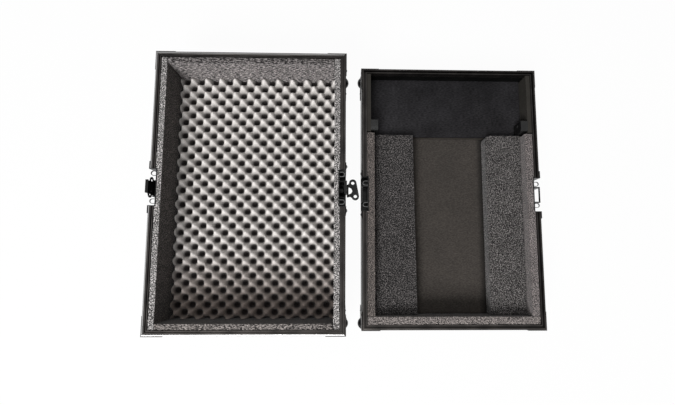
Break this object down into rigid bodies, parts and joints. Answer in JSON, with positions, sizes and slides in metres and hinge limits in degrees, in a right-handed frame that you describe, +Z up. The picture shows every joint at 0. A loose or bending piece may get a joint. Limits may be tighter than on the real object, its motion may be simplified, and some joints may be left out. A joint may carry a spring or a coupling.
{
  "type": "mixer flight case",
  "caption": "Open two-part flight case for a tabletop mixer: shallow base with foam blocks and a cable bay beside a deep lid lined with convoluted foam, with folding twist latches.",
  "frame": {"origin": "on the floor, midway between the two halves and midway along them", "axes": "+X from the lid towards the base, +Y towards the cable bay at the rear, +Z up"},
  "size_m": [0.827, 0.585, 0.144],
  "materials": {
    "black_laminate": "black textured laminate on plywood",
    "batten_wood": "black stained",
    "dark_aluminium": "dark anodised, satin",
    "black_steel": "black coated, semi-gloss",
    "latch_steel": "black coated, worn at the edges",
    "rivet_steel": "dark coated",
    "lining_foam": "dark grey open foam",
    "block_foam": "charcoal closed-cell foam",
    "bay_mat": "brown-grey felt",
    "egg_crate_foam": "grey convoluted foam",
    "post_plastic": "black, semi-matt",
    "black_rubber": "matt"
  },
  "bodies": {
    "base": {"base_ball_corners": "black_steel", "base_bottom_board": "black_laminate", "base_corner_angles": "dark_aluminium", "base_edging": "dark_aluminium", "base_front_lining": "lining_foam", "base_rim_braces": "black_steel", "base_rim_front": "dark_aluminium", "base_rim_left": "dark_aluminium", "base_rim_rear": "dark_aluminium", "base_rim_right": "dark_aluminium", "base_rivets": "rivet_steel", "base_screws": "rivet_steel", "base_side_lining_left": "lining_foam", "base_side_lining_right": "lining_foam", "base_wall_front": "black_laminate", "base_wall_left": "black_laminate", "base_wall_rear": "black_laminate", "base_wall_right": "black_laminate", "bay_posts": "post_plastic", "cable_bay_battens": "batten_wood", "cable_bay_floor": "black_laminate", "cable_bay_liners": "black_laminate", "foam_block_left": "block_foam", "foam_block_right": "block_foam", "keeper_bridges": "latch_steel", "keeper_dishes": "black_steel", "mixer_bay_mat": "bay_mat", "rubber_feet": "black_rubber"},
    "lid": {"convoluted_foam": "egg_crate_foam", "handle_dish": "black_steel", "latch_dish_left": "black_steel", "latch_dish_right": "black_steel", "lid_ball_corners": "black_steel", "lid_corner_angles": "dark_aluminium", "lid_edging": "dark_aluminium", "lid_lining_front": "lining_foam", "lid_lining_left": "lining_foam", "lid_lining_rear": "lining_foam", "lid_lining_right": "lining_foam", "lid_rim_braces": "black_steel", "lid_rim_front": "dark_aluminium", "lid_rim_left": "dark_aluminium", "lid_rim_rear": "dark_aluminium", "lid_rim_right": "dark_aluminium", "lid_rivets": "rivet_steel", "lid_top_board": "black_laminate", "lid_wall_front": "black_laminate", "lid_wall_left": "black_laminate", "lid_wall_rear": "black_laminate", "lid_wall_right": "black_laminate"},
    "latch_spindle_left": {"latch_spindle_left": "latch_steel"},
    "latch_hook_left": {"latch_hook_left": "latch_steel"},
    "latch_wing_upper_left": {"latch_wing_upper_left": "latch_steel"},
    "latch_wing_lower_left": {"latch_wing_lower_left": "latch_steel"},
    "latch_spindle_right": {"latch_spindle_right": "latch_steel"},
    "latch_hook_right": {"latch_hook_right": "latch_steel"},
    "latch_wing_upper_right": {"latch_wing_upper_right": "latch_steel"},
    "latch_wing_lower_right": {"latch_wing_lower_right": "latch_steel"},
    "handle": {"handle_bail": "black_steel", "handle_grip": "black_rubber"}
  },
  "joints": [
    {"name": "lid_close", "type": "hinge", "parent": "base", "child": "lid", "pos_m": [0, 0, 0.1044], "axis": [0, 1, 0], "range_deg": [0, 180]},
    {"name": "latch_turn_left", "type": "hinge", "parent": "lid", "child": "latch_spindle_left", "pos_m": [-0.406, 0.003, 0.101], "axis": [1, 0, 0], "range_deg": [0, 180]},
    {"name": "latch_draw_left", "type": "slide", "parent": "lid", "child": "latch_hook_left", "axis": [0, 0, 1], "range_m": [0, 0.008]},
    {"name": "wing_fold_upper_left", "type": "hinge", "parent": "latch_spindle_left", "child": "latch_wing_upper_left", "pos_m": [-0.41045, 0.003, 0.1036], "axis": [0, -1, 0], "range_deg": [0, 90]},
    {"name": "wing_fold_lower_left", "type": "hinge", "parent": "latch_spindle_left", "child": "latch_wing_lower_left", "pos_m": [-0.41045, 0.003, 0.0984], "axis": [0, 1, 0], "range_deg": [0, 90]},
    {"name": "latch_turn_right", "type": "hinge", "parent": "lid", "child": "latch_spindle_right", "pos_m": [-0.018, 0.003, 0.101], "axis": [1, 0, 0], "range_deg": [0, 180]},
    {"name": "latch_draw_right", "type": "slide", "parent": "lid", "child": "latch_hook_right", "axis": [0, 0, 1], "range_m": [0, 0.008]},
    {"name": "wing_fold_upper_right", "type": "hinge", "parent": "latch_spindle_right", "child": "latch_wing_upper_right", "pos_m": [-0.01355, 0.003, 0.1036], "axis": [0, -1, 0], "range_deg": [0, 90]},
    {"name": "wing_fold_lower_right", "type": "hinge", "parent": "latch_spindle_right", "child": "latch_wing_lower_right", "pos_m": [-0.01355, 0.003, 0.0984], "axis": [0, 1, 0], "range_deg": [0, 90]},
    {"name": "handle_swing", "type": "hinge", "parent": "lid", "child": "handle", "pos_m": [-0.212, -0.278, 0.08625], "axis": [-1, 0, 0], "range_deg": [0, 90]}
  ],
  "couplings": [
    {"joint": "latch_turn_left", "follows": "latch_draw_left", "rad_per_m": 392.69},
    {"joint": "latch_turn_right", "follows": "latch_draw_right", "rad_per_m": 392.69}
  ]
}
